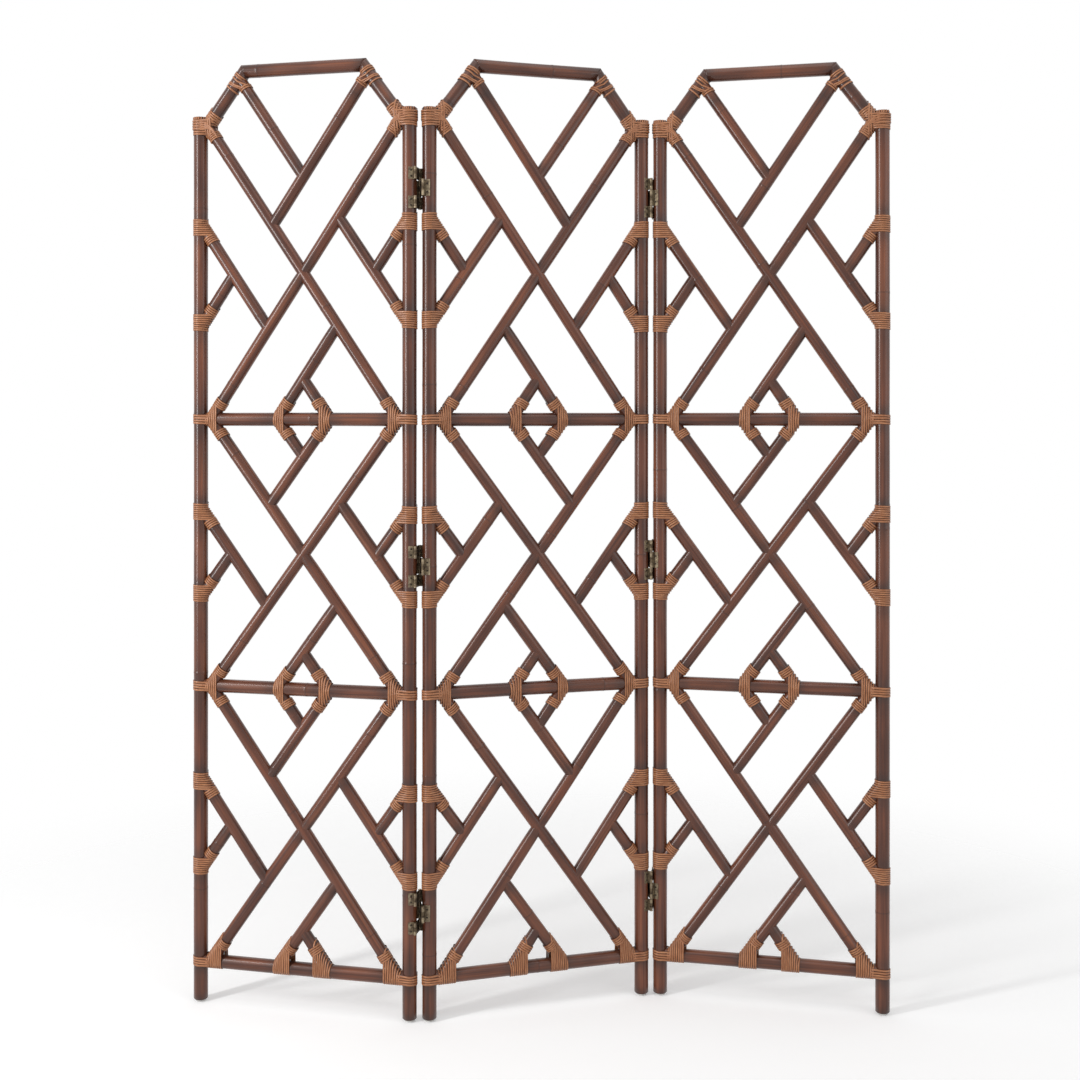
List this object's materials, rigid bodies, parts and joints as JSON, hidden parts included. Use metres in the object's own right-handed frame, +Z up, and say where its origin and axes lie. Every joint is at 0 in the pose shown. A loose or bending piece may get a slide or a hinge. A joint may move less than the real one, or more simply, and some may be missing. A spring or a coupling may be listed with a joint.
{
  "type": "folding room divider",
  "caption": "Free-standing folding screen of rattan-pole lattice panels in a zigzag, with wrapped joints and two-way hinges.",
  "frame": {"origin": "On the floor, at the middle of the outline that the standing screen covers.", "axes": "+Z up, X along the width of the screen, front towards -Y."},
  "size_m": [1.35, 0.152, 1.83],
  "materials": {
    "stained_rattan": "satin, stained dark reddish brown",
    "rattan_peel": "satin, stained warm brown",
    "aged_brass": "aged, dull",
    "bright_brass": "rubbed bright",
    "dark_nails": "dark, oxidised",
    "pale_glides": "clear to pale grey"
  },
  "bodies": {
    "left_panel": {"left_left_post": "stained_rattan", "left_right_post": "stained_rattan", "left_main_diagonals": "stained_rattan", "left_hinge_leaves": "aged_brass", "left_hinge_pins": "bright_brass", "left_hinge_nails": "dark_nails", "left_hinge_links": "aged_brass", "left_upper_rail": "stained_rattan", "left_lower_rail": "stained_rattan", "left_bottom_rail": "stained_rattan", "left_top_rail": "stained_rattan", "left_shoulder_rails": "stained_rattan", "left_top_fillers": "stained_rattan", "left_middle_fillers": "stained_rattan", "left_bottom_fillers": "stained_rattan", "left_post_bindings": "rattan_peel", "left_rail_bindings": "rattan_peel", "left_top_bindings": "rattan_peel", "left_frame_nails": "dark_nails", "left_glides": "pale_glides"},
    "middle_panel": {"middle_left_post": "stained_rattan", "middle_right_post": "stained_rattan", "middle_main_diagonals": "stained_rattan", "middle_hinge_leaves": "aged_brass", "middle_hinge_pins": "bright_brass", "middle_hinge_nails": "dark_nails", "middle_hinge_links": "aged_brass", "middle_upper_rail": "stained_rattan", "middle_lower_rail": "stained_rattan", "middle_bottom_rail": "stained_rattan", "middle_top_rail": "stained_rattan", "middle_shoulder_rails": "stained_rattan", "middle_top_fillers": "stained_rattan", "middle_middle_fillers": "stained_rattan", "middle_bottom_fillers": "stained_rattan", "middle_post_bindings": "rattan_peel", "middle_rail_bindings": "rattan_peel", "middle_top_bindings": "rattan_peel", "middle_frame_nails": "dark_nails", "middle_glides": "pale_glides"},
    "right_panel": {"right_left_post": "stained_rattan", "right_right_post": "stained_rattan", "right_main_diagonals": "stained_rattan", "right_hinge_leaves": "aged_brass", "right_hinge_pins": "bright_brass", "right_hinge_nails": "dark_nails", "right_hinge_links": "aged_brass", "right_upper_rail": "stained_rattan", "right_lower_rail": "stained_rattan", "right_bottom_rail": "stained_rattan", "right_top_rail": "stained_rattan", "right_shoulder_rails": "stained_rattan", "right_top_fillers": "stained_rattan", "right_middle_fillers": "stained_rattan", "right_bottom_fillers": "stained_rattan", "right_post_bindings": "rattan_peel", "right_rail_bindings": "rattan_peel", "right_top_bindings": "rattan_peel", "right_frame_nails": "dark_nails", "right_glides": "pale_glides"}
  },
  "joints": [
    {"name": "left_gap", "type": "hinge", "parent": "middle_panel", "child": "left_panel", "pos_m": [-0.22612, -0.0461, 0.862], "axis": [0, 0, -1], "range_deg": [-30, 138]},
    {"name": "right_gap", "type": "hinge", "parent": "middle_panel", "child": "right_panel", "pos_m": [0.22612, 0.0461, 0.862], "axis": [0, 0, -1], "range_deg": [-30, 138]}
  ]
}
